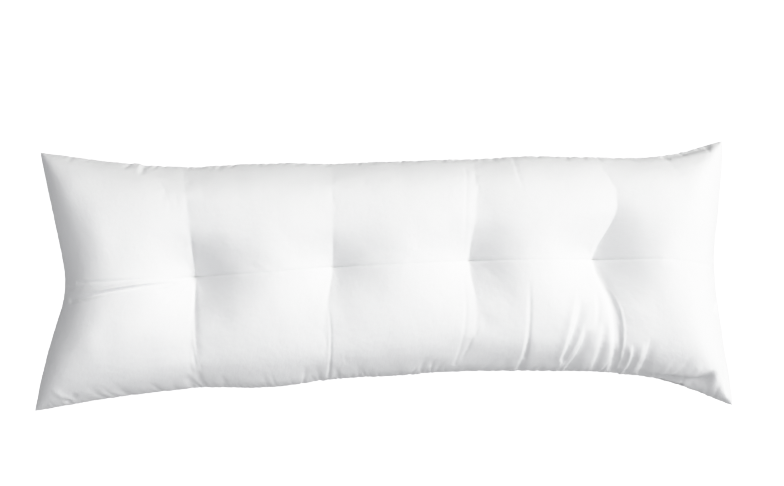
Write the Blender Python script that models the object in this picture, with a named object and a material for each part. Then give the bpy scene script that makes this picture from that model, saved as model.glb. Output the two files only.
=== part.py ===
"""Body pillow: a long filled cover with four tufting stitches, lying on its back.

Two equal panels of white cloth are sewn together all round, turned out and filled.
Four stitches on the middle line pull the front and the back towards each other.
They leave five plump bays, a trough across the pillow at each stitch, a crease along
the middle between them, and a thin pointed ear at each corner.

Metres, +Z up.  X runs along the pillow, Y across it, and the back lies on Z = 0.
"""
import math
from collections import namedtuple

import bmesh
import bpy
from mathutils import Vector

# Heights above the surface that the pillow lies on
SEAM_HEIGHT = 0.075        # the seam along the long sides
EAR_HEIGHT = 0.052         # the tips of the four ears
CROWN = 0.168              # what a bay would reach if no crease drew it in

# The crease along the middle and the pits at the stitches, on both panels
STRAIGHT_SHARE = 0.25      # share of half a bay over which the crease climbs evenly
FUNNEL_DEPTH = 0.008       # the narrow pit right at a stitch
FUNNEL_RADIUS = 0.020

# The round of the section and of the ends, and how the back meets the surface
SECTION_POWER = 3.0        # higher gives a flatter top
SIDE_POWER = 0.74          # lower gives steeper sides
EAR_SIDE_POWER = 0.85      # the sides run out flatter in the ears
EAR_ALONG_POWER = 8        # higher keeps the ears' form closer to the end seams
EAR_ACROSS_POWER = 4       # higher keeps their sinking closer to the long seams
END_ROUND = 2.5            # higher brings the crown closer to the end seams
END_POWER = 0.83           # lower gives a steeper rise from an end seam
CORNER_FULLNESS = (8.0, 3.0)   # of the left and the right end; higher gives fuller corners
BACK_FULLNESS = 1.08       # the back is this much fuller than the front before it flattens
FLOOR_EASE = 0.006         # height over which the back rounds off onto the surface
LEAST_RISE = 1e-6

# Cells across each panel; the back needs half as many
FRONT_ROWS = 32
BACK_ROWS = 16

COVER_COLOUR = (0.86, 0.87, 0.88, 1.0)
COVER_ROUGHNESS = 0.85

# One row for each line across the pillow, from the left end to the right end.  The along
# values are where the line meets the near seam, the near quarter, the middle crease, the far
# quarter and the far seam.  The near, middle and far values are how far across it is there.
# The drops are how much lower than the full crown the cloth is on the near and the far half.
# The crease is how deep the middle crease is, and the reaches are how far it slopes out, as
# shares of the near and the far half width.  cells is the number of cells to the next line.
Station = namedtuple(
    "Station",
    "kind along_near along_near_quarter along_middle along_far_quarter along_far "
    "near middle far drop_near drop_far crease reach_near reach_far cells")
STATIONS = (
    Station("end", -0.674, -0.643, -0.611, -0.632, -0.664, -0.260, -0.021, 0.243,
            0, 0, 0, 0.50, 0.50, 12),
    Station("bay", -0.515, -0.498, -0.474, -0.488, -0.517, -0.231, -0.011, 0.223,
            0, 0, 0.003, 0.50, 0.44, 10),
    Station("tuft", -0.346, -0.357, -0.356, -0.362, -0.381, -0.212, 0.001, 0.212,
            0.014, 0.008, 0.058, 0.56, 0.45, 9),
    Station("bay", -0.226, -0.221, -0.219, -0.227, -0.237, -0.210, 0.010, 0.220,
            0, 0, 0.003, 0.48, 0.38, 9),
    Station("tuft", -0.096, -0.106, -0.094, -0.092, -0.096, -0.197, 0.020, 0.220,
            0.008, 0.006, 0.032, 0.47, 0.42, 9),
    Station("bay", 0.024, 0.036, 0.036, 0.038, 0.034, -0.189, 0.026, 0.224,
            0, 0, 0.003, 0.46, 0.42, 10),
    Station("tuft", 0.140, 0.178, 0.164, 0.177, 0.175, -0.182, 0.032, 0.226,
            0.009, 0.010, 0.032, 0.47, 0.44, 11),
    Station("bay", 0.294, 0.292, 0.281, 0.293, 0.292, -0.181, 0.034, 0.232,
            0, 0, 0.003, 0.46, 0.44, 14),
    Station("tuft", 0.450, 0.440, 0.400, 0.441, 0.412, -0.185, 0.034, 0.231,
            0.009, 0.010, 0.049, 0.50, 0.57, 13),
    Station("bay", 0.566, 0.544, 0.542, 0.541, 0.546, -0.205, 0.035, 0.233,
            0, 0, 0.004, 0.46, 0.48, 13),
    Station("end", 0.675, 0.651, 0.635, 0.648, 0.656, -0.246, 0.019, 0.262,
            0, 0, 0, 0.50, 0.50, 0),
)

# One row for each main fold of the front: where it starts, bends and ends, how wide it is and
# how high it stands.  A hollow has a height below zero.
Fold = namedtuple("Fold", "start bend end width height")
FOLDS = (
    # drawn from the first stitch towards the left end
    Fold((-0.572, -0.041), (-0.489, -0.024), (-0.397, -0.010), 0.009, -0.0020),
    # single groove down the fourth bay
    Fold((0.274, -0.020), (0.275, -0.090), (0.262, -0.168), 0.009, -0.0030),
    # two slanting pleats that lap over each other
    Fold((0.364, -0.019), (0.353, -0.079), (0.336, -0.155), 0.008, 0.0025),
    Fold((0.373, -0.042), (0.362, -0.089), (0.342, -0.160), 0.009, -0.0035),
    Fold((0.383, -0.085), (0.370, -0.130), (0.344, -0.175), 0.009, -0.0035),
    # soft hollow beside the trough
    Fold((0.417, -0.070), (0.412, -0.120), (0.402, -0.170), 0.009, -0.0025),
    # the deep trough below the fourth stitch and the fold that stands on its right
    Fold((0.401, 0.010), (0.432, -0.064), (0.437, -0.165), 0.010, -0.0045),
    Fold((0.428, -0.020), (0.455, -0.080), (0.453, -0.160), 0.009, 0.0025),
    # short folds at the near seam of the right end
    Fold((0.490, -0.115), (0.487, -0.145), (0.481, -0.172), 0.009, 0.0025),
    Fold((0.503, -0.115), (0.498, -0.145), (0.493, -0.172), 0.009, -0.0025),
    # the near right ear: a hollow across it and the ridge down to its tip
    Fold((0.630, -0.175), (0.600, -0.197), (0.545, -0.194), 0.010, -0.0055),
    Fold((0.636, -0.150), (0.645, -0.190), (0.654, -0.226), 0.010, 0.0035),
)
FOLD_STEPS = 24            # points at which a fold's line is measured
FOLD_FADE = 0.25           # share of a fold's length over which it starts and dies out
FOLD_LEAST = 0.25          # share of its height that a fold keeps at its two ends


def clear_scene():
    """Remove whatever the scene holds, so that only the pillow is in it."""
    for thing in list(bpy.data.objects):
        bpy.data.objects.remove(thing, do_unlink=True)


def through(values, place):
    """Value at a fractional place on a smooth curve through evenly spaced values."""
    start = min(int(place), len(values) - 2)
    share = place - start
    before = values[start - 1] if start > 0 else 2.0 * values[start] - values[start + 1]
    a, b = values[start], values[start + 1]
    after = values[start + 2] if start + 2 < len(values) else 2.0 * b - a
    bend = 2.0 * before - 5.0 * a + 4.0 * b - after
    twist = 3.0 * (a - b) + after - before
    return a + 0.5 * share * (b - before + share * (bend + share * twist))


def plump(values, place):
    """Value at a place along the pillow: round over a bay, with a sharp turn at a tuft."""
    start = min(int(place), len(values) - 2)
    edge = start + start % 2
    bay = start + 1 - start % 2
    share = abs(place - edge)
    swell = 2.0 * share - share * share
    if edge in (0, len(values) - 1):
        swell = (1.0 - (1.0 - share) ** END_ROUND) ** END_POWER
    return values[edge] + (values[bay] - values[edge]) * swell


def wedge(values, place):
    """Value at a place along the pillow: even slopes away from a tuft, then round."""
    start = min(int(place), len(values) - 2)
    edge = start + start % 2
    bay = start + 1 - start % 2
    share = abs(place - edge)
    steepness = 2.0 / (1.0 + STRAIGHT_SHARE)
    climb = steepness * share
    if share > STRAIGHT_SHARE:
        climb = 1.0 - 0.5 * steepness * (1.0 - share) ** 2 / (1.0 - STRAIGHT_SHARE)
    return values[edge] + (values[bay] - values[edge]) * climb


def column(field):
    """One named value of every station, in order along the pillow."""
    return [getattr(station, field) for station in STATIONS]


def by_kind(end, bay, tuft):
    """A value for every station, chosen by its kind."""
    choice = {"end": end, "bay": bay, "tuft": tuft}
    return [choice[station.kind] for station in STATIONS]


ALONG = [column(field) for field in (
    "along_near", "along_near_quarter", "along_middle", "along_far_quarter", "along_far")]
ACROSS = [column(field) for field in ("near", "middle", "far")]
FULLNESS = by_kind(0.0, 1.0, 1.0)
CREASE_DEPTH = column("crease")
DROP_NEAR = column("drop_near")
DROP_FAR = column("drop_far")
REACH_NEAR = column("reach_near")
REACH_FAR = column("reach_far")
TUFTS = [Vector((station.along_middle, station.middle)) for station in STATIONS
         if station.kind == "tuft"]
LAST = len(STATIONS) - 1


def plan_point(place, side):
    """Plan position of a point; side runs from -1 at the near seam to 1 at the far seam."""
    along = through([through(line, place) for line in ALONG], 2.0 * (side + 1.0))
    near, middle, far = (through(line, place) for line in ACROSS)
    across = middle + side * (far - middle if side > 0.0 else middle - near)
    return Vector((along, across))


def end_nearness(place):
    """0 over the middle of the pillow, 1 at an end seam."""
    return abs(2.0 * place / LAST - 1.0)


def seam_height(place, side):
    """Height of the seam, which sinks towards the tips of the ears."""
    ear = end_nearness(place) ** EAR_ALONG_POWER * side ** EAR_ACROSS_POWER
    return SEAM_HEIGHT + (EAR_HEIGHT - SEAM_HEIGHT) * ear


def dome(place, side):
    """How far the filling alone would push a panel off the plane of the seam."""
    ear = end_nearness(place) ** EAR_ALONG_POWER
    side_power = SIDE_POWER + (EAR_SIDE_POWER - SIDE_POWER) * ear
    along = max(plump(FULLNESS, place), LEAST_RISE)
    across = max((1.0 - abs(side) ** SECTION_POWER) ** side_power, LEAST_RISE)
    square = CORNER_FULLNESS[0] + (CORNER_FULLNESS[1] - CORNER_FULLNESS[0]) * place / LAST
    both = (along ** -square + across ** -square - 1.0) ** (-1.0 / square)
    share_far = 0.5 + 0.5 * side
    drop = plump(DROP_NEAR, place) * (1.0 - share_far) + plump(DROP_FAR, place) * share_far
    return (CROWN - SEAM_HEIGHT - drop) * both


def crease(place, side):
    """How far the middle crease draws a panel in, on a bell-shaped section."""
    reach = plump(REACH_NEAR if side < 0.0 else REACH_FAR, place)
    return wedge(CREASE_DEPTH, place) * max(0.0, 1.0 - (side / reach) ** 2) ** 2


def rise(place, side, plan):
    """How far a panel stands off the plane of the seam."""
    pit = sum(math.exp(-(plan - tuft).length / FUNNEL_RADIUS) for tuft in TUFTS)
    return dome(place, side) - crease(place, side) - FUNNEL_DEPTH * pit * (1.0 - abs(side))


def rest_on_surface(height):
    """Flatten a height against the surface at zero, with an eased edge."""
    if height < -FLOOR_EASE:
        return 0.0
    if height > FLOOR_EASE:
        return height
    return (height + FLOOR_EASE) ** 2 / (4.0 * FLOOR_EASE)


def columns_along():
    """Places of the cell lines along the pillow, closer together towards the end seams."""
    places = []
    for index, station in enumerate(STATIONS[:-1]):
        for step in range(station.cells):
            share = step / station.cells
            if index == 0:
                share = 1.0 - math.cos(0.5 * math.pi * share)
            if index == LAST - 1:
                share = math.sin(0.5 * math.pi * share)
            places.append(index + share)
    return places + [float(LAST)]


def rows_across(rows):
    """Sides of the cell lines across the pillow, closer together towards the seams."""
    even = [2.0 * row / rows - 1.0 for row in range(rows + 1)]
    return [0.5 * (value + math.sin(0.5 * math.pi * value)) for value in even]


def panel_points(mesh, places, sides, height_of):
    """Vertices of one panel as a list of columns; height_of gives each one's height."""
    points = []
    for place in places:
        line = []
        for side in sides:
            plan = plan_point(place, side)
            line.append(mesh.verts.new((plan.x, plan.y, height_of(place, side, plan))))
        points.append(line)
    return points


def front_height(place, side, plan):
    return seam_height(place, side) + rise(place, side, plan)


def back_height(place, side, plan):
    return rest_on_surface(seam_height(place, side) - BACK_FULLNESS * rise(place, side, plan))


def add_front(mesh, places):
    """The front panel, with the whole seam all round it."""
    points = panel_points(mesh, places, rows_across(FRONT_ROWS), front_height)
    for left, right in zip(points, points[1:]):
        for row in range(FRONT_ROWS):
            mesh.faces.new((left[row], right[row], right[row + 1], left[row + 1]))
    return points


def add_back(mesh, places, front):
    """The back panel, which shares the seam with the front and has half its rows."""
    step = FRONT_ROWS // BACK_ROWS
    inner = panel_points(mesh, places[1:-1], rows_across(BACK_ROWS)[1:-1], back_height)
    columns = [[seam[0]] + line + [seam[-1]] for seam, line in zip(front[1:-1], inner)]
    for left, right in zip(columns, columns[1:]):
        for row in range(BACK_ROWS):
            mesh.faces.new((left[row], left[row + 1], right[row + 1], right[row]))
    for row in range(BACK_ROWS):
        left_seam = front[0][row * step:(row + 1) * step + 1]
        mesh.faces.new(left_seam + [columns[0][row + 1], columns[0][row]])
        right_seam = front[-1][row * step:(row + 1) * step + 1]
        mesh.faces.new(right_seam[::-1] + [columns[-1][row], columns[-1][row + 1]])


def fold_line(fold):
    """Points along a fold, on a curve from its start through its bend to its end."""
    start, bend, end = (Vector(corner) for corner in (fold.start, fold.bend, fold.end))
    pull = 2.0 * bend - 0.5 * (start + end)
    line = []
    for step in range(FOLD_STEPS + 1):
        share = step / FOLD_STEPS
        point = start.lerp(pull, share).lerp(pull.lerp(end, share), share)
        line.append((share, point))
    return line


def fold_height(fold, line, plan):
    """How far one fold lifts the cloth at a plan position."""
    distance, share = min(((plan - point).length, share) for share, point in line)
    fade = min(1.0, share / FOLD_FADE, (1.0 - share) / FOLD_FADE)
    strength = FOLD_LEAST + (1.0 - FOLD_LEAST) * math.sin(0.5 * math.pi * fade) ** 2
    return fold.height * strength * math.exp(-(distance / fold.width) ** 2)


def raise_folds(front):
    """Lift and sink the inner vertices of the front along their normals."""
    lines = [(fold, fold_line(fold)) for fold in FOLDS]
    moves = []
    for line in front[1:-1]:
        for vert in line[1:-1]:
            plan = vert.co.xy
            lift = sum(fold_height(fold, points, plan) for fold, points in lines)
            moves.append((vert, vert.normal * lift))
    for vert, move in moves:
        vert.co += move


def centre_on_origin(mesh):
    """Bring the middle of the pillow's plan over the origin."""
    xs = [vert.co.x for vert in mesh.verts]
    ys = [vert.co.y for vert in mesh.verts]
    middle = Vector((0.5 * (min(xs) + max(xs)), 0.5 * (min(ys) + max(ys)), 0.0))
    for vert in mesh.verts:
        vert.co -= middle


def cover_material():
    """Plain white cotton cloth."""
    material = bpy.data.materials.new("cover_cloth")
    material.use_nodes = True
    shader = material.node_tree.nodes["Principled BSDF"]
    shader.inputs["Base Color"].default_value = COVER_COLOUR
    shader.inputs["Roughness"].default_value = COVER_ROUGHNESS
    shader.inputs["Metallic"].default_value = 0.0
    return material


def add_pillow():
    """The filled cover as one closed solid: front panel, back panel and their seam."""
    mesh = bmesh.new()
    places = columns_along()
    front = add_front(mesh, places)
    add_back(mesh, places, front)
    centre_on_origin(mesh)
    mesh.normal_update()
    raise_folds(front)
    data = bpy.data.meshes.new("pillow")
    mesh.to_mesh(data)
    mesh.free()
    data.shade_smooth()
    data.materials.append(cover_material())
    pillow = bpy.data.objects.new("pillow", data)
    bpy.context.scene.collection.objects.link(pillow)
    return pillow


clear_scene()
add_pillow()
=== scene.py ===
import math
from collections import namedtuple

import bpy
import numpy as np
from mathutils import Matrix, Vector


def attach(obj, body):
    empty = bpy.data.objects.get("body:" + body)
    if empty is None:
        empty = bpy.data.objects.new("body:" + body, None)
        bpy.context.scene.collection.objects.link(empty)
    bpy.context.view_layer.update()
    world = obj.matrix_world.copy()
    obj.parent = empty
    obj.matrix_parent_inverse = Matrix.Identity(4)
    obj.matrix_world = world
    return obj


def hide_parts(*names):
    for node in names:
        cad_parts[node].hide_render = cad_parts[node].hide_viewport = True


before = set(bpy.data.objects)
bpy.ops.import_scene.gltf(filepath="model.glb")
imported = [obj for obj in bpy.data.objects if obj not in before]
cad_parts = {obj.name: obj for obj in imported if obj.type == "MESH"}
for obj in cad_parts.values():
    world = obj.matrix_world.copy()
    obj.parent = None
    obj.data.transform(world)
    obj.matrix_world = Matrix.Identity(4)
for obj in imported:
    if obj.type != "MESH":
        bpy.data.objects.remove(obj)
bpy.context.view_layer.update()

bpy.ops.object.select_all(action="DESELECT")


# ---- Cover: front and back panel ----------------------------------------------------------
# Two equal panels of white cotton, cut 20 by 54 inches, sewn together all round and turned
# out.  Here each panel is a flat grid of its cut size, joined to the other along the rim and
# laid over the form that the filling gives it.

CUT_LENGTH = 1.372
CUT_WIDTH = 0.508
CLOTH_GIVE = 1.015          # the cloth stretches this much over a full bay

# Grid lines across the cut panel: from, to and number of cells, finer along the middle
# crease and along the long seams
Band = namedtuple("Band", "start end cells")
BANDS = (
    Band(-0.254, -0.215, 5),
    Band(-0.215, -0.036, 12),
    Band(-0.036, 0.036, 10),
    Band(0.036, 0.215, 12),
    Band(0.215, 0.254, 5),
)
HALF_BAY_COLUMNS = 22
PANEL_GAP = 0.001           # the flat panels lie this far off the seam's plane inside the rim
TUFT_CROWDING = 0.25        # how much finer the columns are at a stitch than on average

# One row for each line across the pillow, from the left end to the right end: where it meets
# the near seam, the near quarter, the middle crease, the far quarter and the far seam; how
# far across the near seam, the middle and the far seam are; how much lower than the full
# crown the cloth is on its near and its far half; how deep the middle crease is; and how far
# that crease slopes out, as shares of the near and the far half width.
Station = namedtuple(
    "Station",
    "kind along_near along_near_quarter along_middle along_far_quarter along_far "
    "near middle far drop_near drop_far crease reach_near reach_far")
STATIONS = (
    Station("end", -0.674, -0.643, -0.611, -0.632, -0.664, -0.261, -0.021, 0.243,
            0, 0, 0, 0.50, 0.50),
    Station("bay", -0.515, -0.498, -0.474, -0.488, -0.517, -0.2345, -0.011, 0.2245,
            0, 0, 0.003, 0.50, 0.44),
    Station("tuft", -0.346, -0.357, -0.356, -0.362, -0.381, -0.216, 0.001, 0.2155,
            0.014, 0.008, 0.058, 0.56, 0.45),
    Station("bay", -0.226, -0.221, -0.219, -0.227, -0.237, -0.2150, 0.010, 0.2215,
            0, 0, 0.003, 0.48, 0.38),
    Station("tuft", -0.096, -0.106, -0.094, -0.092, -0.096, -0.2000, 0.020, 0.2215,
            0.008, 0.006, 0.032, 0.47, 0.42),
    Station("bay", 0.024, 0.036, 0.036, 0.038, 0.034, -0.1925, 0.026, 0.2260,
            0, 0, 0.003, 0.46, 0.42),
    Station("tuft", 0.140, 0.178, 0.164, 0.177, 0.175, -0.1845, 0.032, 0.2300,
            0.009, 0.010, 0.032, 0.47, 0.44),
    Station("bay", 0.294, 0.292, 0.281, 0.293, 0.292, -0.1835, 0.034, 0.2350,
            0, 0, 0.003, 0.46, 0.44),
    Station("tuft", 0.450, 0.440, 0.400, 0.441, 0.412, -0.1875, 0.034, 0.2325,
            0.009, 0.010, 0.049, 0.50, 0.57),
    Station("bay", 0.566, 0.544, 0.542, 0.541, 0.546, -0.2085, 0.035, 0.2365,
            0, 0, 0.004, 0.46, 0.48),
    Station("end", 0.681, 0.657, 0.639, 0.649, 0.6605, -0.252, 0.019, 0.266,
            0, 0, 0, 0.50, 0.50),
)
LAST = len(STATIONS) - 1

# Heights above the surface that the pillow lies on
SEAM_HEIGHT = 0.075         # the seam along the long sides
EAR_HEIGHT = 0.052          # the tips of the four ears
CROWN = 0.168               # what a bay would reach if no crease drew it in

# The crease along the middle and the pits at the stitches
STRAIGHT_SHARE = 0.25       # share of half a bay over which the crease climbs evenly
FUNNEL_DEPTH = 0.008        # the narrow pit right at a stitch
FUNNEL_RADIUS = 0.020

# The round of the section, each pair for the near and the far half
SECTION_POWER = (2.6, 3.0)  # higher gives a flatter top
SIDE_POWER = (0.90, 0.72)   # lower gives steeper sides
SIDE_STEP = (0.16, 0.0)     # this share of the rise stands upright at the seam
SIDE_STEP_POWER = 60.0      # higher keeps the upright part closer to the seam
EAR_SIDE_POWER = 0.85       # the sides run out flatter in the ears
EAR_ALONG_POWER = 8         # higher keeps the ears' form closer to the end seams
EAR_ACROSS_POWER = 4        # higher keeps their sinking closer to the long seams

# The rise from the two end seams
LEFT_END_REACH = 0.75       # share of the half bay over which the left end rises
LEFT_END_ROUND = 1.6        # higher brings the crown closer to the end seam
LEFT_END_POWER = 0.60       # lower gives a steeper rise at the seam
LEFT_EAR_POWER = 1.05       # the same beside the long seams, where the ears lie flatter
LEFT_EAR_NARROWING = 3      # higher keeps that closer to the long seams
RIGHT_END_STEEPNESS = 1.9   # how fast the right end rises
RIGHT_END_SHARPNESS = 4.0   # how suddenly it then turns level
RIGHT_END_POWER = 0.92
CORNER_FULLNESS = 3.0       # higher gives fuller corners
LEAST_RISE = 1e-6

# The back is a little fuller than the front, until it flattens on the surface
BACK_FULLNESS = 1.08
FLOOR_EASE = 0.006          # height over which the back rounds off onto the surface

# Points along each half section from which the rows' even spacing is worked out
SECTION_POINTS = 161
SECTION_CROWDING = 0.9      # lower crowds them more towards the seam


def column(field):
    """One named value of every station, in order along the pillow."""
    return [getattr(station, field) for station in STATIONS]


def by_kind(end, bay, tuft):
    """A value for every station, chosen by its kind."""
    choice = {"end": end, "bay": bay, "tuft": tuft}
    return [choice[station.kind] for station in STATIONS]


def through(values, place):
    """Smooth curve through evenly spaced values, the first axis of values, at places."""
    values = np.asarray(values, float)
    place = np.asarray(place, float)
    if values.ndim == 1:
        values = values.reshape((-1,) + (1,) * place.ndim)
    values = np.broadcast_to(values, values.shape[:1] + place.shape)
    first = 2.0 * values[:1] - values[1:2]
    last = 2.0 * values[-1:] - values[-2:-1]
    run = np.concatenate([first, values, last])
    start = np.minimum(place.astype(int), len(values) - 2)
    share = place - start
    before, a, b, after = (
        np.take_along_axis(run, (start + step)[None], 0)[0] for step in range(4))
    bend = 2.0 * before - 5.0 * a + 4.0 * b - after
    twist = 3.0 * (a - b) + after - before
    return a + 0.5 * share * (b - before + share * (bend + share * twist))


def half_bay(place):
    """The line that bounds the half bay at a place, its bay, and the share from one to the other."""
    start = np.minimum(place.astype(int), LAST - 1)
    edge = start + start % 2
    bay = start + 1 - start % 2
    return edge, bay, np.abs(place - edge)


def plump(values, place, out=0.0):
    """Round over a bay, with a sharp turn at a stitch; out is 1 at the long seams."""
    values = np.asarray(values, float)
    edge, bay, share = half_bay(place)
    swell = 2.0 * share - share * share
    left_share = np.clip(share / LEFT_END_REACH, 0.0, 1.0)
    left_power = LEFT_END_POWER + (LEFT_EAR_POWER - LEFT_END_POWER) * out ** LEFT_EAR_NARROWING
    left_swell = (1.0 - (1.0 - left_share) ** LEFT_END_ROUND) ** left_power
    limit = RIGHT_END_STEEPNESS ** -RIGHT_END_SHARPNESS
    right_climb = ((1.0 + limit) / (share ** RIGHT_END_SHARPNESS + limit)) ** (1.0 / RIGHT_END_SHARPNESS)
    right_swell = (share * right_climb) ** RIGHT_END_POWER
    swell = np.where(edge == 0, left_swell, swell)
    swell = np.where(edge == LAST, right_swell, swell)
    return values[edge] + (values[bay] - values[edge]) * swell


def wedge(values, place):
    """Even slopes away from a stitch, then round over the bay."""
    values = np.asarray(values, float)
    edge, bay, share = half_bay(place)
    steepness = 2.0 / (1.0 + STRAIGHT_SHARE)
    rounded = 1.0 - 0.5 * steepness * (1.0 - share) ** 2 / (1.0 - STRAIGHT_SHARE)
    climb = np.where(share < STRAIGHT_SHARE, steepness * share, rounded)
    return values[edge] + (values[bay] - values[edge]) * climb


ALONG = [column(field) for field in (
    "along_near", "along_near_quarter", "along_middle", "along_far_quarter", "along_far")]
ACROSS = [column(field) for field in ("near", "middle", "far")]
PLAN_MIDDLE = (0.0005, 0.001)       # the middle of the pillow's box, as the stations count it
FULL_RISE = by_kind(0.0, CROWN - SEAM_HEIGHT, CROWN - SEAM_HEIGHT)
TUFT_PLACES = [index for index, station in enumerate(STATIONS) if station.kind == "tuft"]
TUFTS = [(STATIONS[index].along_middle - PLAN_MIDDLE[0], STATIONS[index].middle - PLAN_MIDDLE[1])
         for index in TUFT_PLACES]


def filled_form(place, side, back):
    """Points of one panel over the filling; side is -1 at the near and 1 at the far seam."""
    x = through(np.stack([through(line, place) for line in ALONG]), 2.0 * (side + 1.0))
    near, middle, far = (through(line, place) for line in ACROSS)
    y = middle + side * np.where(side > 0.0, far - middle, middle - near)
    x = x - PLAN_MIDDLE[0]
    y = y - PLAN_MIDDLE[1]
    out = np.abs(side)
    ear = np.abs(2.0 * place / LAST - 1.0) ** EAR_ALONG_POWER
    seam = SEAM_HEIGHT + (EAR_HEIGHT - SEAM_HEIGHT) * ear * out ** EAR_ACROSS_POWER
    section_power = np.where(side < 0.0, *SECTION_POWER)
    side_power = np.where(side < 0.0, *SIDE_POWER)
    side_power = side_power + (EAR_SIDE_POWER - side_power) * ear
    share_far = 0.5 + 0.5 * side
    drop_near, drop_far = (plump(column(field), place) for field in ("drop_near", "drop_far"))
    drop = drop_near + (drop_far - drop_near) * share_far
    along_rise = np.maximum(plump(FULL_RISE, place, out) / (CROWN - SEAM_HEIGHT), LEAST_RISE)
    step = np.where(side < 0.0, *SIDE_STEP) * (1.0 - ear)
    across_rise = (1.0 - step) * (1.0 - out ** section_power) ** side_power
    across_rise = np.maximum(across_rise + step * (1.0 - out ** SIDE_STEP_POWER), LEAST_RISE)
    both_rises = along_rise ** -CORNER_FULLNESS + across_rise ** -CORNER_FULLNESS - 1.0
    dome = (CROWN - SEAM_HEIGHT - drop) * both_rises ** (-1.0 / CORNER_FULLNESS)
    reach_near, reach_far = (plump(column(field), place) for field in ("reach_near", "reach_far"))
    reach = np.where(side < 0.0, reach_near, reach_far)
    crease = wedge(column("crease"), place) * np.clip(1.0 - (out / reach) ** 2, 0.0, None) ** 2
    pit = sum(np.exp(-np.hypot(x - tuft_x, y - tuft_y) / FUNNEL_RADIUS)
              for tuft_x, tuft_y in TUFTS)
    rise = dome - crease - FUNNEL_DEPTH * pit * (1.0 - out)
    if not back:
        return np.stack([x, y, seam + rise], -1)
    z = seam - BACK_FULLNESS * rise
    eased = (z + FLOOR_EASE) ** 2 / (4.0 * FLOOR_EASE)
    z = np.where(z < -FLOOR_EASE, 0.0, np.where(z > FLOOR_EASE, z, eased))
    return np.stack([x, y, z], -1)


def lengths_along(points, axis):
    """Distance from the first point of each line to each of its points."""
    steps = np.linalg.norm(np.diff(points, axis=axis), axis=-1)
    start = np.zeros_like(np.take(steps, [0], axis=axis))
    return np.concatenate([start, np.cumsum(steps, axis=axis)], axis=axis)


def column_places():
    """Places of the grid columns along the pillow."""
    share = np.linspace(0.0, 1.0, HALF_BAY_COLUMNS + 1)
    crowded = share - TUFT_CROWDING * np.sin(math.pi * share) / math.pi
    halves = []
    for index in range(LAST):
        run = crowded if index % 2 == 0 else 1.0 - crowded[::-1]
        halves.append(index + run[:-1])
    return np.append(np.concatenate(halves), float(LAST))


def row_offsets():
    """Where the grid rows lie across the cut panel."""
    runs = [np.linspace(band.start, band.end, band.cells + 1)[:-1] for band in BANDS]
    return np.append(np.concatenate(runs), BANDS[-1].end)


PLACES = column_places()
ROWS = row_offsets()
quarter_line = filled_form(PLACES, np.full_like(PLACES, 0.5), back=False)
run_length = lengths_along(quarter_line, 0)
COLUMNS = CUT_LENGTH * (run_length / run_length[-1] - 0.5)


def laid_over(back):
    """Grid of points of one panel, its rows spaced along the cloth and not along the plan."""
    share = np.abs(ROWS) / (0.5 * CUT_WIDTH)
    fine = np.sin(np.linspace(0.0, 0.5 * math.pi, SECTION_POINTS)) ** SECTION_CROWDING
    grid = np.zeros((len(PLACES), len(ROWS), 3))
    for direction in (-1.0, 1.0):
        place = np.repeat(PLACES[:, None], len(fine), axis=1)
        side = np.repeat(fine[None] * direction, len(PLACES), axis=0)
        length = lengths_along(filled_form(place, side, back), 1)
        length /= length[:, -1:]
        half = ROWS <= 0.0 if direction < 0.0 else ROWS >= 0.0
        for index in range(len(PLACES)):
            spaced = np.interp(share[half], length[index], fine) * direction
            grid[index, half] = filled_form(
                np.full(spaced.shape, PLACES[index]), spaced, back)
    return grid


front_form = laid_over(back=False)
back_form = laid_over(back=True)


def add_panel(name, turned):
    """A flat panel of the cut size with its own UV map; turned has its face down."""
    bpy.ops.mesh.primitive_grid_add(
        x_subdivisions=len(COLUMNS) - 1, y_subdivisions=len(ROWS) - 1, size=1.0,
        calc_uvs=True, location=(0.0, 0.0, 0.0))
    panel = bpy.context.object
    panel.name = name
    mesh = panel.data
    flat = np.zeros(len(mesh.vertices) * 3)
    mesh.vertices.foreach_get("co", flat)
    flat = flat.reshape(-1, 3)
    index_along = np.rint((flat[:, 0] + 0.5) * (len(COLUMNS) - 1)).astype(int)
    index_across = np.rint((flat[:, 1] + 0.5) * (len(ROWS) - 1)).astype(int)
    inside = (index_along > 0) & (index_along < len(COLUMNS) - 1)
    inside &= (index_across > 0) & (index_across < len(ROWS) - 1)
    lifted = inside * (-PANEL_GAP if turned else PANEL_GAP)
    cut = np.stack([COLUMNS[index_along], ROWS[index_across], lifted], -1)
    mesh.vertices.foreach_set("co", cut.ravel())
    turned_points = np.full(len(flat), float(turned))
    lines = np.stack([index_along, index_across, turned_points], -1)
    for attribute, values in (("grid_place", lines), ("cut_place", cut)):
        kept = mesh.attributes.new(attribute, "FLOAT_VECTOR", "POINT")
        kept.data.foreach_set("vector", values.ravel())
    if turned:
        bpy.ops.object.mode_set(mode="EDIT")
        bpy.ops.mesh.select_all(action="SELECT")
        bpy.ops.mesh.flip_normals()
        bpy.ops.object.mode_set(mode="OBJECT")
    return panel


def vertex_values(mesh, name):
    """A vector attribute of every vertex as an array."""
    values = np.zeros(len(mesh.vertices) * 3)
    mesh.attributes[name].data.foreach_get("vector", values)
    return values.reshape(-1, 3)


def vertex_places(mesh):
    """The position of every vertex as an array."""
    values = np.zeros(len(mesh.vertices) * 3)
    mesh.vertices.foreach_get("co", values)
    return values.reshape(-1, 3)


back_panel = add_panel("back_panel", turned=True)
cover = add_panel("pillow_cover", turned=False)
back_panel.select_set(True)
bpy.context.view_layer.objects.active = cover
bpy.ops.object.join()

# Sew the panels together: only their rims touch
SEWING_REACH = 0.0001
bpy.ops.object.mode_set(mode="EDIT")
bpy.ops.mesh.select_all(action="SELECT")
bpy.ops.mesh.remove_doubles(threshold=SEWING_REACH)
bpy.ops.object.mode_set(mode="OBJECT")

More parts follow.
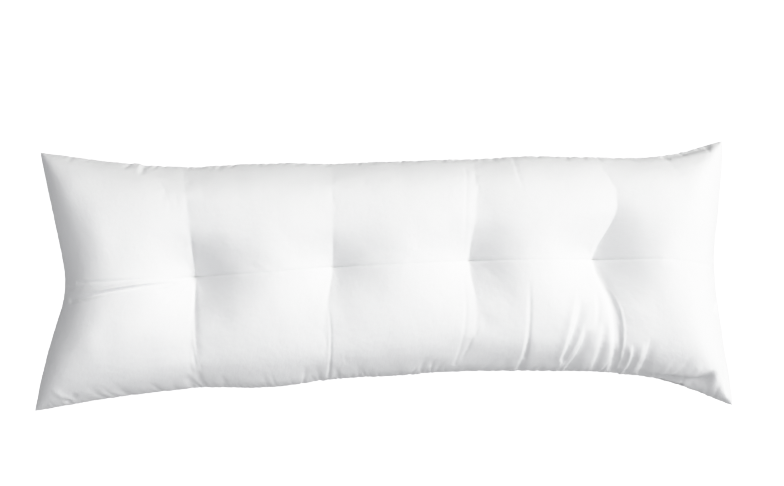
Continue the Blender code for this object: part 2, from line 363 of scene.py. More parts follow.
# The seam is a knife edge.  The two left ears end in a sharp tip and the right ones are blunt
SEAM_SHARPNESS = 0.6
BLUNT_CELLS = 2
LAST_COLUMN = len(COLUMNS) - 1
LAST_ROW = len(ROWS) - 1
MIDDLE_ROW = len(ROWS) // 2
seam = cover.data.attributes.new("crease_edge", "FLOAT", "EDGE")
tips = cover.data.attributes.new("crease_vert", "FLOAT", "POINT")
grid_place = vertex_values(cover.data, "grid_place")
along = np.rint(grid_place[:, 0]).astype(int)
across = np.rint(grid_place[:, 1]).astype(int)
on_back = grid_place[:, 2] > 0.5
on_end_seam = (along == 0) | (along == LAST_COLUMN)
on_long_seam = (across == 0) | (across == LAST_ROW)
on_rim = on_end_seam | on_long_seam
at_ear = on_end_seam & on_long_seam
ends = np.zeros(len(cover.data.edges) * 2, int)
cover.data.edges.foreach_get("vertices", ends)
ends = ends.reshape(-1, 2)
same_column = along[ends[:, 0]] == along[ends[:, 1]]
same_row = across[ends[:, 0]] == across[ends[:, 1]]
on_seam = on_rim[ends].all(1) & (same_column | same_row)
beside_ear = np.abs(across - MIDDLE_ROW) >= MIDDLE_ROW - BLUNT_CELLS
blunt = (LAST_COLUMN - along <= BLUNT_CELLS) & beside_ear
seam.data.foreach_set("value", np.where(on_seam & ~blunt[ends].all(1), SEAM_SHARPNESS, 0.0))
tips.data.foreach_set("value", (at_ear & (along == 0)).astype(float))
in_back = (on_back & ~on_rim)[:, None]
form = np.where(in_back, back_form[along, across], front_form[along, across])


# ---- Lumps --------------------------------------------------------------------------------
# The loose fibre of the filling is never quite even.  Where it has clumped, it stands under
# the cloth in broad, very low lumps.

CHANCE_SEED = 11
LUMP_SIZE = (0.06, 0.16)
LUMP_HEIGHT = 0.0004
LUMP_WAVES = 26
BACK_LUMP_SHIFT = 0.37      # the back's lumps are not the front's


def lump_lift(plan, draw):
    """Slight unevenness of the filling, as a sum of long waves."""
    lift = np.zeros(len(plan))
    for _ in range(LUMP_WAVES):
        turn = draw.uniform(0.0, math.pi)
        size = draw.uniform(*LUMP_SIZE)
        phase = draw.uniform(0.0, 2.0 * math.pi)
        along_wave = plan[:, 0] * math.cos(turn) + plan[:, 1] * math.sin(turn)
        lift += np.sin(2.0 * math.pi * along_wave / size + phase)
    return lift * LUMP_HEIGHT / math.sqrt(LUMP_WAVES / 2.0)


def point_normals(mesh):
    """The normal of every vertex as an array."""
    values = np.zeros(len(mesh.vertices) * 3)
    mesh.vertices.foreach_get("normal", values)
    return values.reshape(-1, 3)


cover.data.vertices.foreach_set("co", form.ravel())
cover.data.update()
cut_place = vertex_values(cover.data, "cut_place")
draw = np.random.default_rng(CHANCE_SEED)
lump = lump_lift(form[:, :2] + on_back[:, None] * BACK_LUMP_SHIFT, draw)
filled = form + point_normals(cover.data) * lump[:, None]
filled[:, 2] = np.maximum(filled[:, 2], 0.0)


# ---- Filling ------------------------------------------------------------------------------
# Loose polyester fibre, blown in until the bays stand full.  Here it is air pressure in a
# cloth simulation: the sewn panels keep their cut size, hold at the stitches and the ear
# tips, and settle on the surface.

SETTLE_FRAMES = 24
STEPS_A_FRAME = 6
PRESSURE = 6.0
POINT_MASS = 0.2
WEIGHT_SHARE = 0.03         # cloth alone weighs little beside the push of the filling
CLOTH_TENSION = 40.0
CLOTH_COMPRESSION = 60.0
CLOTH_SHEAR = 12.0
CLOTH_BENDING = 0.06
CLOTH_DAMPING = 8.0
BENDING_DAMPING = 0.3
STITCH_HOLD = 1.0           # how firmly the stitches and the ear tips stay where they are
EAR_HOLD = 0.6
HOLD_STIFFNESS = 5.0

# The surface that the cover settles on
SURFACE_SIZE = 4.0
SURFACE_FRICTION = 2.0
CLEAR_OF_SURFACE = 0.002    # the simulation keeps the cloth this far off it
START_CLEARANCE = 0.0025
LOWERING_HEIGHT = 0.03      # the cloth below this height is lowered by that gap afterwards

MOVE_CAP = 0.012            # no point moves further than this
RIM_HOLD = 0.25             # the stiff seam keeps its line but for this share of the movement
RIM_HOLD_WIDTH = 0.090
LEAST_MOVE = 1e-9
FINER_LEVELS = 2


def from_rim(cut):
    """Distance of each cut position from the rim of its panel."""
    across_rim = 0.5 * CUT_WIDTH - np.abs(cut[:, 1])
    along_rim = 0.5 * CUT_LENGTH - np.abs(cut[:, 0])
    return np.minimum(across_rim, along_rim)


def settle(piece, start):
    """Fill the sewn cover by cloth simulation and return where its vertices come to rest."""
    rest = piece.shape_key_add(name="filled")
    flat = piece.shape_key_add(name="cut")
    cut = cut_place * (CLOTH_GIVE, CLOTH_GIVE, 1.0)
    flat.data.foreach_set("co", cut.ravel())
    flat.value = 0.0
    raised = start.copy()
    raised[:, 2] = np.maximum(raised[:, 2], START_CLEARANCE)
    rest.data.foreach_set("co", raised.ravel())
    held = piece.vertex_groups.new(name="held")
    at_tuft = np.zeros(len(start), bool)
    for place in TUFT_PLACES:
        at_tuft |= (np.abs(along - place * HALF_BAY_COLUMNS) <= 1) & (across == MIDDLE_ROW)
    held.add(np.flatnonzero(at_tuft).tolist(), STITCH_HOLD, "REPLACE")
    held.add(np.flatnonzero(at_ear).tolist(), EAR_HOLD, "REPLACE")
    cloth = piece.modifiers.new("filling", "CLOTH")
    work = cloth.settings
    work.quality = STEPS_A_FRAME
    work.mass = POINT_MASS
    work.tension_stiffness = CLOTH_TENSION
    work.compression_stiffness = CLOTH_COMPRESSION
    work.shear_stiffness = CLOTH_SHEAR
    work.bending_stiffness = CLOTH_BENDING
    work.tension_damping = CLOTH_DAMPING
    work.compression_damping = CLOTH_DAMPING
    work.shear_damping = CLOTH_DAMPING
    work.bending_damping = BENDING_DAMPING
    work.use_pressure = True
    work.uniform_pressure_force = PRESSURE
    work.vertex_group_mass = "held"
    work.pin_stiffness = HOLD_STIFFNESS
    work.rest_shape_key = flat
    work.effector_weights.gravity = WEIGHT_SHARE
    cloth.collision_settings.use_collision = True
    cloth.collision_settings.distance_min = CLEAR_OF_SURFACE
    cloth.point_cache.frame_start = 1
    cloth.point_cache.frame_end = SETTLE_FRAMES
    bpy.ops.mesh.primitive_plane_add(size=SURFACE_SIZE, location=(0.0, 0.0, 0.0))
    surface = bpy.context.object
    surface.modifiers.new("surface", "COLLISION")
    surface.collision.thickness_outer = CLEAR_OF_SURFACE
    surface.collision.cloth_friction = SURFACE_FRICTION
    for moment in range(1, SETTLE_FRAMES + 1):
        bpy.context.scene.frame_set(moment)
    graph = bpy.context.evaluated_depsgraph_get()
    settled = piece.evaluated_get(graph).to_mesh()
    places = vertex_places(settled)
    piece.evaluated_get(graph).to_mesh_clear()
    piece.modifiers.remove(cloth)
    piece.vertex_groups.clear()
    piece.shape_key_clear()
    bpy.data.objects.remove(surface)
    bpy.context.scene.frame_set(1)
    return places


moved = settle(cover, filled) - filled
move_length = np.linalg.norm(moved, axis=1, keepdims=True)
capped = moved * np.minimum(1.0, MOVE_CAP / np.maximum(move_length, LEAST_MOVE))
loose = np.clip(from_rim(cut_place) / RIM_HOLD_WIDTH, 0.0, 1.0)
filled = filled + capped * (RIM_HOLD + (1.0 - RIM_HOLD) * loose)[:, None]
filled[:, 2] -= CLEAR_OF_SURFACE * np.clip(1.0 - filled[:, 2] / LOWERING_HEIGHT, 0.0, 1.0)
filled[:, 2] = np.maximum(filled[:, 2], 0.0)
cover.data.vertices.foreach_set("co", filled.ravel())
cover.data.update()
bpy.ops.object.select_all(action="DESELECT")
cover.select_set(True)
bpy.context.view_layer.objects.active = cover
finer = cover.modifiers.new("finer", "SUBSURF")
finer.levels = FINER_LEVELS
finer.render_levels = FINER_LEVELS
bpy.ops.object.modifier_apply(modifier=finer.name)
bpy.ops.object.shade_smooth()


# ---- Folds and gathers --------------------------------------------------------------------
# The stitches and the seam draw the cloth in, and what is left over stands up in folds: a fan
# of them below the fourth stitch, fine creases between the first stitch and the left end, and
# small gathers all along the seam.

# A fold runs from its far end over its bend to its near end, or from left to right.  It has a
# width on its left and on its right, and a height at each of the three points; a hollow has a
# height below zero.
Fold = namedtuple("Fold", "start bend end left right at_start at_bend at_end")
FOLDS = (
    # single groove down the fourth bay, wider at the seam
    Fold((0.274, -0.001), (0.275, -0.083), (0.269, -0.152), 0.004, 0.004, 0, -0.0018, -0.0030),
    Fold((0.274, -0.110), (0.270, -0.140), (0.258, -0.184), 0.004, 0.009, 0, -0.0020, -0.0050),
    # two slanting pleats that lap over each other
    Fold((0.364, -0.019), (0.353, -0.079), (0.338, -0.151), 0.009, 0.003, 0, 0.0022, 0.0010),
    Fold((0.373, -0.042), (0.362, -0.089), (0.342, -0.155), 0.004, 0.010, 0, -0.0055, -0.0040),
    Fold((0.377, -0.083), (0.364, -0.127), (0.332, -0.180), 0.008, 0.003, 0, 0.0020, 0.0010),
    Fold((0.383, -0.098), (0.372, -0.137), (0.347, -0.186), 0.004, 0.012, 0, -0.0055, -0.0065),
    # soft hollows beside the trough
    Fold((0.402, -0.020), (0.404, -0.061), (0.399, -0.095), 0.004, 0.007, 0, -0.0020, 0),
    Fold((0.417, -0.083), (0.412, -0.127), (0.402, -0.184), 0.006, 0.009, 0, -0.0035, -0.0040),
    # the deep trough below the fourth stitch and the fold that stands on its right
    Fold((0.401, 0.016), (0.432, -0.064), (0.437, -0.178), 0.006, 0.011, 0, -0.0048, -0.0045),
    Fold((0.416, -0.012), (0.450, -0.076), (0.447, -0.174), 0.004, 0.003, 0, 0.0010, 0.0012),
    # short folds at the near seam of the right end
    Fold((0.466, -0.127), (0.467, -0.151), (0.458, -0.184), 0.006, 0.004, 0, 0.0030, 0.0030),
    Fold((0.490, -0.123), (0.486, -0.149), (0.478, -0.180), 0.009, 0.005, 0, 0.0030, 0.0020),
    Fold((0.504, -0.112), (0.498, -0.151), (0.490, -0.184), 0.004, 0.011, 0, -0.0028, -0.0045),
    Fold((0.543, -0.160), (0.535, -0.178), (0.525, -0.194), 0.006, 0.005, 0, 0.0010, 0.0008),
    Fold((0.581, -0.150), (0.568, -0.172), (0.550, -0.194), 0.004, 0.009, 0, -0.0016, -0.0020),
    Fold((0.602, -0.160), (0.596, -0.178), (0.588, -0.192), 0.006, 0.005, 0, 0.0012, 0.0008),
    # the body hangs over the seam towards the near right ear
    Fold((0.468, -0.190), (0.533, -0.195), (0.588, -0.201), 0.008, 0.006, 0, -0.0045, -0.0020),
    # that ear: a hollow across it and a line beside the ridge that runs down to its tip
    Fold((0.632, -0.178), (0.602, -0.2070), (0.538, -0.2055), 0.012, 0.009, -0.0020, -0.0160, -0.0080),
    Fold((0.650, -0.168), (0.656, -0.198), (0.664, -0.228), 0.004, 0.004, 0, -0.0060, -0.0020),
    # the far right ear is rolled along its seam, between a notch and a nick
    Fold((0.540, 0.2320), (0.583, 0.2420), (0.626, 0.2530), 0.006, 0.005, -0.0025, -0.0085, -0.0060),
    Fold((0.533, 0.238), (0.540, 0.230), (0.552, 0.224), 0.004, 0.005, -0.0025, -0.0030, 0),
    Fold((0.619, 0.258), (0.624, 0.248), (0.628, 0.236), 0.004, 0.003, -0.0040, -0.0015, 0),
    # a dimple in the end seam
    Fold((0.636, -0.043), (0.635, -0.059), (0.631, -0.074), 0.004, 0.004, 0, -0.0110, 0),
    # puckers at the near left ear and in the far seam near the left end
    Fold((-0.632, -0.212), (-0.612, -0.226), (-0.594, -0.238), 0.006, 0.006, 0, 0.0020, 0.0015),
    Fold((-0.602, -0.240), (-0.590, -0.232), (-0.580, -0.222), 0.005, 0.006, -0.0030, -0.0030, 0),
    Fold((-0.471, 0.228), (-0.468, 0.212), (-0.475, 0.198), 0.012, 0.011, 0.0095, 0.0015, 0),
    Fold((-0.460, 0.218), (-0.458, 0.208), (-0.456, 0.194), 0.005, 0.006, -0.0010, -0.0030, 0),
    Fold((-0.478, 0.226), (-0.486, 0.216), (-0.494, 0.206), 0.007, 0.004, -0.0020, -0.0025, 0),
    # creases from the left end to the first stitch
    Fold((-0.572, -0.010), (-0.489, -0.006), (-0.407, -0.003), 0.003, 0.003, -0.0015, -0.0028, 0),
    Fold((-0.587, -0.044), (-0.489, -0.024), (-0.397, -0.010), 0.004, 0.005, -0.0035, -0.0055, -0.0010),
    Fold((-0.547, -0.029), (-0.470, -0.014), (-0.387, -0.006), 0.004, 0.005, 0, 0.0050, 0.0014),
    Fold((-0.426, -0.026), (-0.402, -0.020), (-0.377, -0.011), 0.003, 0.003, 0, -0.0018, 0),
    Fold((-0.410, -0.050), (-0.389, -0.034), (-0.368, -0.014), 0.003, 0.003, 0, -0.0018, 0),
    # the cloth hangs over the near half of the first trough
    Fold((-0.356, -0.010), (-0.354, -0.070), (-0.347, -0.150), 0.003, 0.008, 0, -0.0022, -0.0006),
    # fine lines beside the other troughs
    Fold((-0.104, -0.042), (-0.096, -0.108), (-0.102, -0.190), 0.003, 0.003, 0, -0.0009, -0.0020),
    Fold((0.155, 0.040), (0.157, 0.136), (0.161, 0.213), 0.004, 0.004, 0, -0.0006, 0),
    Fold((0.150, 0.010), (0.156, -0.078), (0.138, -0.165), 0.004, 0.004, 0, -0.0008, -0.0010),
    # a faint fold at the far seam of the fourth bay
    Fold((0.250, 0.225), (0.258, 0.187), (0.267, 0.155), 0.004, 0.005, -0.0008, -0.0006, 0),
)
FOLD_STEPS = 20
FOLD_MARGIN = 3.0           # a fold is worked out as far away as this many of its widths

# The panels stand proud of their seam, which lies in a fine groove between them
SEAM_GROOVE = 0.0012
SEAM_GROOVE_WIDTH = 0.0016

# The fine crease that the stitches draw along the middle of each panel
CREASE_GROOVE = 0.0012
CREASE_AT_TUFT = 0.0035
CREASE_TUFT_REACH = 0.030
CREASE_HALF_WIDTH = 0.0025
CREASE_END_FADE = 0.06

# Gathers along the seams; the pairs are the least and the most that chance may draw
GATHER_SPACING = (0.009, 0.020)
GATHER_WIDTH = (0.0025, 0.0055)
GATHER_DEPTH = (0.0006, 0.0028)
NEAR_GATHER_LENGTH = (0.025, 0.075)
FAR_GATHER_LENGTH = (0.012, 0.035)
GATHER_LEAN = 0.9           # gathers far from the middle lean more
GATHER_SLANT = 0.30         # and each leans by up to this much besides
GATHER_SPAN = 0.09
GATHER_FADE = 1.5           # higher ends them sooner
END_GATHER_SHARE = 0.35     # the short seams are drawn in less
RIM_SHARE = 0.4             # the stitched rim itself puckers less
RIM_WIDTH = 0.010
EAR_CALM = (0.02, 0.12)     # between these distances from an ear's tip the gathers grow
EAR_GATHER_SHARE = 0.2      # to full depth from this share of it
BACK_GATHER_SHIFT = 0.004   # the back's gathers lie this far beside the front's

# The folds run on round the edge of the front, and fade out where it leans over this much
WRAP_SLOPE = 0.3

# Next to the seam, and where the side is steep, a hollow moves the cloth straight down; how
# steep the side is, is told by the upward share of its normal
RIM_REACH = 0.012
STEEP_FROM = 0.55
STEEP_TO = 0.30
SETTLING_HEIGHT = 0.030     # the cloth below this height settles onto the surface


def fold_points(fold):
    """Points along a fold, on a curve through its bend."""
    start, bend, end = (np.array(corner) for corner in (fold.start, fold.bend, fold.end))
    pull = 2.0 * bend - 0.5 * (start + end)
    share = np.linspace(0.0, 1.0, FOLD_STEPS + 1)[:, None]
    return (1.0 - share) ** 2 * start + 2.0 * share * (1.0 - share) * pull + share ** 2 * end


def fold_lift(fold, plan):
    """How far one fold lifts each plan position."""
    line = fold_points(fold)
    margin = FOLD_MARGIN * max(fold.left, fold.right)
    low = line.min(0) - margin
    high = line.max(0) + margin
    close = np.flatnonzero(((plan > low) & (plan < high)).all(1))
    spot = plan[close]
    nearest = np.full(len(spot), np.inf)
    share = np.zeros(len(spot))
    hand = np.zeros(len(spot))
    for index in range(FOLD_STEPS):
        step = line[index + 1] - line[index]
        offset = spot - line[index]
        part = np.clip(offset @ step / (step @ step), 0.0, 1.0)
        distance = np.linalg.norm(offset - part[:, None] * step, axis=1)
        nearer = distance < nearest
        turn = step[0] * offset[:, 1] - step[1] * offset[:, 0]
        nearest = np.where(nearer, distance, nearest)
        share = np.where(nearer, (index + part) / FOLD_STEPS, share)
        hand = np.where(nearer, np.sign(turn), hand)
    to_bend = np.sin(math.pi * share)
    first_half = fold.at_start + (fold.at_bend - fold.at_start) * to_bend
    second_half = fold.at_end + (fold.at_bend - fold.at_end) * to_bend
    height = np.where(share < 0.5, first_half, second_half)
    width = np.where(hand < 0.0, fold.left, fold.right)
    lift = np.zeros(len(plan))
    lift[close] = height * np.exp(-(nearest / width) ** 2)
    return lift


def gather_lift(along_seam, inward, seam_length, reaches, draw):
    """Puckers that run inward from one seam, spaced by chance."""
    lift = np.zeros(len(along_seam))
    position = -0.5 * seam_length
    while position < 0.5 * seam_length:
        position += draw.uniform(*GATHER_SPACING)
        reach = draw.uniform(*reaches)
        width = draw.uniform(*GATHER_WIDTH)
        depth = draw.uniform(*GATHER_DEPTH)
        slant = GATHER_LEAN * position / CUT_LENGTH + draw.uniform(-GATHER_SLANT, GATHER_SLANT)
        beside = np.abs(along_seam - position) < GATHER_SPAN
        close = np.flatnonzero((inward < reach) & beside)
        off = along_seam[close] - position - slant * inward[close]
        spread = width * (1.0 + inward[close] / reach)
        fade = np.cos(0.5 * math.pi * inward[close] / reach) ** GATHER_FADE
        fade *= RIM_SHARE + (1.0 - RIM_SHARE) * np.clip(inward[close] / RIM_WIDTH, 0.0, 1.0)
        lift[close] -= depth * fade * np.exp(-(off / spread) ** 2)
    return lift


def all_gathers(cut, draw):
    """The puckers of the four seams."""
    from_near = 0.5 * CUT_WIDTH + cut[:, 1]
    from_far = 0.5 * CUT_WIDTH - cut[:, 1]
    from_left = 0.5 * CUT_LENGTH + cut[:, 0]
    from_right = 0.5 * CUT_LENGTH - cut[:, 0]
    lift = gather_lift(cut[:, 0], from_near, CUT_LENGTH, NEAR_GATHER_LENGTH, draw)
    lift += gather_lift(cut[:, 0], from_far, CUT_LENGTH, FAR_GATHER_LENGTH, draw)
    ends = gather_lift(cut[:, 1], from_left, CUT_WIDTH, FAR_GATHER_LENGTH, draw)
    ends += gather_lift(cut[:, 1], from_right, CUT_WIDTH, FAR_GATHER_LENGTH, draw)
    from_corner = np.hypot(np.minimum(from_left, from_right), np.minimum(from_near, from_far))
    clear_of_ear = (from_corner - EAR_CALM[0]) / (EAR_CALM[1] - EAR_CALM[0])
    calm = np.clip(clear_of_ear, EAR_GATHER_SHARE, 1.0)
    return (lift + END_GATHER_SHARE * ends) * calm


def crease_lift(cut, plan):
    """The groove along the middle of the panel, deeper towards the stitches."""
    from_tuft = np.min([np.abs(plan[:, 0] - tuft[0]) for tuft in TUFTS], axis=0)
    depth = CREASE_GROOVE + (CREASE_AT_TUFT - CREASE_GROOVE) * np.exp(-from_tuft / CREASE_TUFT_REACH)
    from_end = 0.5 * CUT_LENGTH - np.abs(cut[:, 0])
    depth *= np.clip(from_end / CREASE_END_FADE, 0.0, 1.0)
    return -depth * np.exp(-np.abs(cut[:, 1]) / CREASE_HALF_WIDTH)


mesh = cover.data
places = vertex_places(mesh)
cut = vertex_values(mesh, "cut_place")
backness = np.clip(vertex_values(mesh, "grid_place")[:, 2], 0.0, 1.0)
normals = point_normals(mesh)
frontness = (1.0 - backness) * np.clip(normals[:, 2] / WRAP_SLOPE + 1.0, 0.0, 1.0)
middle_crease = crease_lift(cut, places[:, :2])
front_lift = middle_crease.copy()
for fold in FOLDS:
    front_lift += fold_lift(fold, places[:, :2])
lift = all_gathers(cut + backness[:, None] * (BACK_GATHER_SHIFT, 0.0, 0.0), draw)
lift += middle_crease * backness
lift -= SEAM_GROOVE * np.exp(-(from_rim(cut) / SEAM_GROOVE_WIDTH) ** 2)
at_rim = np.exp(-(from_rim(cut) / RIM_REACH) ** 2)
steep = np.clip((STEEP_FROM - normals[:, 2]) / (STEEP_FROM - STEEP_TO), 0.0, 1.0)
upright = np.maximum(at_rim, steep * (1.0 - backness))
raised = np.maximum(front_lift, 0.0)
sunk = np.minimum(front_lift, 0.0)
lift += raised * np.maximum(frontness, at_rim) + sunk * frontness * (1.0 - upright)
places += normals * lift[:, None]
places[:, 2] += sunk * upright
low_share = np.clip(1.0 - places[:, 2] / SETTLING_HEIGHT, 0.0, 1.0)
places[:, 2] -= places[:, 2].min() * low_share
places[:, 2] = np.maximum(places[:, 2], 0.0)
mesh.vertices.foreach_set("co", places.ravel())
mesh.update()


# ---- Cloth --------------------------------------------------------------------------------
# Bleached cotton percale, a fine close plain weave, matt with a faint sheen.  It is slightly
# uneven in tone and softly crumpled from handling and washing.

COTTON_SHINE = 0.25
COTTON_SHEEN = 0.08
SHEEN_ROUGHNESS = 0.4
COVER_WHITE = (0.872, 0.873, 0.875)
COVER_ROUGHNESS = 0.85
THREAD_SPACING = 0.0005
WEAVE_HEIGHT = 0.00004
CRUMPLE_SIZE = 0.022
CRUMPLE_HEIGHT = 0.0010
TONE_SIZE = 0.05
DARKER_TONE = (0.862, 0.864, 0.868, 1.0)
LIGHTER_TONE = (0.882, 0.882, 0.882, 1.0)
NOISE_DETAIL = 4.0
NOISE_ROUGHNESS = 0.55


def number_node(tree, operation, first, second=None):
    """A maths node; an input is a number or another node's output."""
    node = tree.nodes.new("ShaderNodeMath")
    node.operation = operation
    for socket, value in zip(node.inputs, (first, second)):
        if isinstance(value, (int, float)):
            socket.default_value = value
        elif value is not None:
            tree.links.new(value, socket)
    return node.outputs[0]


def soft_noise(tree, place, size):
    """Cloudy noise of about the given size in metres."""
    node = tree.nodes.new("ShaderNodeTexNoise")
    node.inputs["Scale"].default_value = 1.0 / size
    node.inputs["Detail"].default_value = NOISE_DETAIL
    node.inputs["Roughness"].default_value = NOISE_ROUGHNESS
    tree.links.new(place, node.inputs["Vector"])
    return node.outputs["Fac"]


def bump_node(tree, height, distance, below=None):
    """A bump of the given height in metres, on top of another bump."""
    node = tree.nodes.new("ShaderNodeBump")
    node.inputs["Strength"].default_value = 1.0
    node.inputs["Distance"].default_value = distance
    tree.links.new(height, node.inputs["Height"])
    if below is not None:
        tree.links.new(below, node.inputs["Normal"])
    return node.outputs["Normal"]


def cotton(name, base, roughness):
    """A plain matt cotton material."""
    material = bpy.data.materials.new(name)
    material.use_nodes = True
    shader = material.node_tree.nodes["Principled BSDF"]
    shader.inputs["Base Color"].default_value = base + (1.0,)
    shader.inputs["Roughness"].default_value = roughness
    shader.inputs["Specular IOR Level"].default_value = COTTON_SHINE
    shader.inputs["Sheen Weight"].default_value = COTTON_SHEEN
    shader.inputs["Sheen Roughness"].default_value = SHEEN_ROUGHNESS
    return material


cloth = cotton("cover_cloth", COVER_WHITE, COVER_ROUGHNESS)
tree = cloth.node_tree
shader = tree.nodes["Principled BSDF"]
on_cloth = tree.nodes.new("ShaderNodeAttribute")
on_cloth.attribute_name = "cut_place"
where = on_cloth.outputs["Vector"]
split = tree.nodes.new("ShaderNodeSeparateXYZ")
tree.links.new(where, split.inputs["Vector"])
thread_turn = math.pi / THREAD_SPACING
warp = number_node(tree, "SINE", number_node(tree, "MULTIPLY", split.outputs["X"], thread_turn))
weft = number_node(tree, "SINE", number_node(tree, "MULTIPLY", split.outputs["Y"], thread_turn))
weave = number_node(tree, "MULTIPLY", warp, weft)
crumple = soft_noise(tree, where, CRUMPLE_SIZE)
crumpled = bump_node(tree, crumple, CRUMPLE_HEIGHT)
woven = bump_node(tree, weave, WEAVE_HEIGHT, crumpled)
tree.links.new(woven, shader.inputs["Normal"])
tone = tree.nodes.new("ShaderNodeMix")
tone.data_type = "RGBA"
tone.inputs["A"].default_value = DARKER_TONE
tone.inputs["B"].default_value = LIGHTER_TONE
tree.links.new(soft_noise(tree, where, TONE_SIZE), tone.inputs["Factor"])
tree.links.new(tone.outputs["Result"], shader.inputs["Base Color"])
cover.data.materials.append(cloth)

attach(cover, "root")
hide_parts("pillow")


# ---- Tufting stitches ---------------------------------------------------------------------
# At each stitch a doubled white thread goes through both panels and the filling, and is drawn
# tight.  On each side it lies in a short tack across the pillow's length, sunk in the cloth.

THREAD_RADIUS = 0.00045
THREAD_ROUNDNESS = 3
THREAD_WHITE = (0.84, 0.84, 0.83)
THREAD_ROUGHNESS = 0.6
TACK_LENGTH = 0.008
TACK_RUNS = (-0.0009, 0.0, 0.0009)      # the runs of a tack lie side by side
TACK_SAG = 0.0012
TACK_SINK = 0.0015                      # both ends of a run go this far into the cloth


def cloth_height(x, y, front):
    """Height of the front or the back of the cover at a plan position."""
    start, down = (1.0, -1.0) if front else (-1.0, 1.0)
    return cover.ray_cast((x, y, start), (0.0, 0.0, down))[1].z


def tack_run(x, y, front, name):
    """One run of thread over the cloth, both ends sunk in it."""
    out = 1.0 if front else -1.0
    half = 0.5 * TACK_LENGTH
    ends = [cloth_height(x + side * half, y, front) for side in (-1.0, 1.0)]
    middle = 0.5 * (ends[0] + ends[1]) - out * TACK_SAG
    middle = max(out * middle, out * cloth_height(x, y, front) + THREAD_RADIUS) * out
    bpy.ops.curve.primitive_bezier_curve_add(location=(0.0, 0.0, 0.0))
    run = bpy.context.object
    run.name = name
    points = run.data.splines[0].bezier_points
    points.add(1)
    heights = (ends[0] - out * TACK_SINK, middle, ends[1] - out * TACK_SINK)
    for point, side, height in zip(points, (-1.0, 0.0, 1.0), heights):
        point.co = (x + side * half, y, height)
        point.handle_left_type = "AUTO"
        point.handle_right_type = "AUTO"
    run.data.bevel_depth = THREAD_RADIUS
    run.data.bevel_resolution = THREAD_ROUNDNESS
    run.data.use_fill_caps = True
    bpy.ops.object.convert(target="MESH")
    return bpy.context.object


bpy.context.view_layer.update()
runs = []
for number, (tuft_x, tuft_y) in enumerate(TUFTS, 1):
    for front in (True, False):
        side_name = "front" if front else "back"
        for offset in TACK_RUNS:
            bpy.ops.object.select_all(action="DESELECT")
            runs.append(tack_run(tuft_x, tuft_y + offset, front, f"tack_{side_name}_{number}"))
bpy.ops.object.select_all(action="DESELECT")
for run in runs:
    run.select_set(True)
bpy.context.view_layer.objects.active = runs[0]
bpy.ops.object.join()
tacks = bpy.context.object
tacks.name = "tufting_stitches"
bpy.ops.object.shade_smooth()
thread = cotton("tufting_thread", THREAD_WHITE, THREAD_ROUGHNESS)
tacks.data.materials.append(thread)
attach(tacks, "root")


# ---- Surface, light and camera ------------------------------------------------------------
# The pillow lies on a plain white surface, as in a studio.  One large round softbox lights it
# from the far right, and a soft sky overhead fills the shade, more from the near side.  The
# camera looks straight down.

FLOOR_SIZE = 30.0
FLOOR_DROP = 0.0005         # the surface lies just clear of the cloth
FLOOR_GREY = (0.45, 0.45, 0.45, 1.0)
FLOOR_ROUGHNESS = 0.9
FLOOR_GLOW = 1.15

bpy.ops.mesh.primitive_plane_add(size=FLOOR_SIZE, location=(0.0, 0.0, -FLOOR_DROP))
floor = bpy.context.object
floor.name = "floor"
paper = bpy.data.materials.new("floor_white")
paper.use_nodes = True
paper_shader = paper.node_tree.nodes["Principled BSDF"]
paper_shader.inputs["Base Color"].default_value = FLOOR_GREY
paper_shader.inputs["Roughness"].default_value = FLOOR_ROUGHNESS
paper_shader.inputs["Emission Color"].default_value = (1.0, 1.0, 1.0, 1.0)
paper_shader.inputs["Emission Strength"].default_value = FLOOR_GLOW
floor.data.materials.append(paper)
floor.visible_diffuse = False

# How strong the sky is: by height, from the horizon's lower to its upper edge; below it, from
# the left to the right; and by direction across the pillow, from the near to the far side
SKY_COLOUR = (0.973, 0.980, 1.0, 1.0)
SKY_HORIZON = (-0.15, 0.35)
SKY_OVERHEAD = 0.600
LOW_SIDES = (0.1, 0.9)
LOW_STRENGTH = (0.05, 0.50)
SKY_ACROSS = (-1.0, 1.0)
ACROSS_SHARE = (1.3, 0.7)


def range_node(tree, taken, given):
    """A node that turns the taken range of a value into the given range."""
    node = tree.nodes.new("ShaderNodeMapRange")
    for socket, value in zip(("From Min", "From Max", "To Min", "To Max"), taken + given):
        node.inputs[socket].default_value = value
    return node


world = bpy.data.worlds.new("studio")
world.use_nodes = True
sky = world.node_tree
sky_direction = sky.nodes.new("ShaderNodeTexCoord")
sky_parts = sky.nodes.new("ShaderNodeSeparateXYZ")
by_height = range_node(sky, SKY_HORIZON, (0.0, SKY_OVERHEAD))
low = range_node(sky, LOW_SIDES, LOW_STRENGTH)
across_share = range_node(sky, SKY_ACROSS, ACROSS_SHARE)
sky.links.new(sky_direction.outputs["Generated"], sky_parts.inputs["Vector"])
sky.links.new(sky_parts.outputs["X"], low.inputs["Value"])
sky.links.new(low.outputs["Result"], by_height.inputs["To Min"])
sky.links.new(sky_parts.outputs["Z"], by_height.inputs["Value"])
sky.links.new(sky_parts.outputs["Y"], across_share.inputs["Value"])
strength = number_node(sky, "MULTIPLY", by_height.outputs["Result"], across_share.outputs["Result"])
background = sky.nodes["Background"]
sky.links.new(strength, background.inputs["Strength"])
background.inputs["Color"].default_value = SKY_COLOUR
bpy.context.scene.world = world

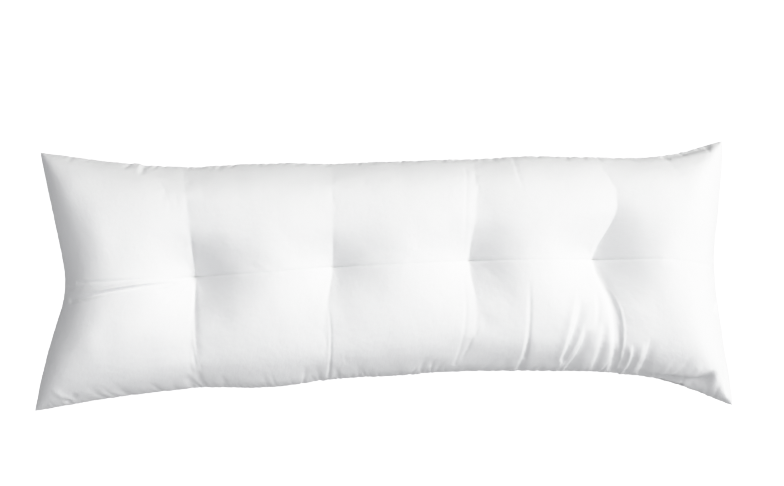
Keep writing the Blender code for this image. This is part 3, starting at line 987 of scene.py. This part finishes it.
KEY_DIRECTION = Vector((0.66, 0.33, 0.68)).normalized()
KEY_DISTANCE = 7.5
KEY_WIDTH = 3.5
KEY_STRENGTH = 2.32         # watts per square metre at the pillow
KEY_COLOUR = (1.0, 0.995, 0.968)
softbox = bpy.data.lights.new("key", "AREA")
softbox.shape = "DISK"
softbox.size = KEY_WIDTH
softbox.energy = KEY_STRENGTH * math.pi * KEY_DISTANCE ** 2
softbox.color = KEY_COLOUR
key = bpy.data.objects.new("key", softbox)
key.location = KEY_DIRECTION * KEY_DISTANCE
key.rotation_mode = "QUATERNION"
key.rotation_quaternion = KEY_DIRECTION.to_track_quat("Z", "Y")
bpy.context.scene.collection.objects.link(key)

METRES_PER_PIXEL = 0.00193  # at the seam's height, which most of the outline has
PICTURE = (784, 486)
PILLOW_IN_PICTURE = (382.5, 276.5)
CAMERA_HEIGHT = 3.0
MEASURED_HEIGHT = 0.062
SENSOR_WIDTH = 36.0
lens = bpy.data.cameras.new("camera")
lens.sensor_width = SENSOR_WIDTH
lens.lens = SENSOR_WIDTH * (CAMERA_HEIGHT - MEASURED_HEIGHT) / (PICTURE[0] * METRES_PER_PIXEL)
camera = bpy.data.objects.new("camera", lens)
camera.location = (
    (0.5 * PICTURE[0] - PILLOW_IN_PICTURE[0]) * METRES_PER_PIXEL,
    (PILLOW_IN_PICTURE[1] - 0.5 * PICTURE[1]) * METRES_PER_PIXEL,
    CAMERA_HEIGHT)
bpy.context.scene.collection.objects.link(camera)
bpy.context.scene.camera = camera

# The exposure's shoulder, from light to tone: the brightest cloth stays short of white
FULL_LIGHT = 1.3
TONES = (
    (0.2, 0.2), (0.4, 0.4), (0.6, 0.6),
    (0.7, 0.708), (0.8, 0.81), (0.9, 0.888),
    (1.0, 0.939), (1.1, 0.969), (1.2, 0.985))
view = bpy.context.scene.view_settings
view.view_transform = "Standard"
view.use_curve_mapping = True
exposure = view.curve_mapping
exposure.white_level = (FULL_LIGHT, FULL_LIGHT, FULL_LIGHT)
for light, shade in TONES:
    exposure.curves[3].points.new(light / FULL_LIGHT, shade)
exposure.update()
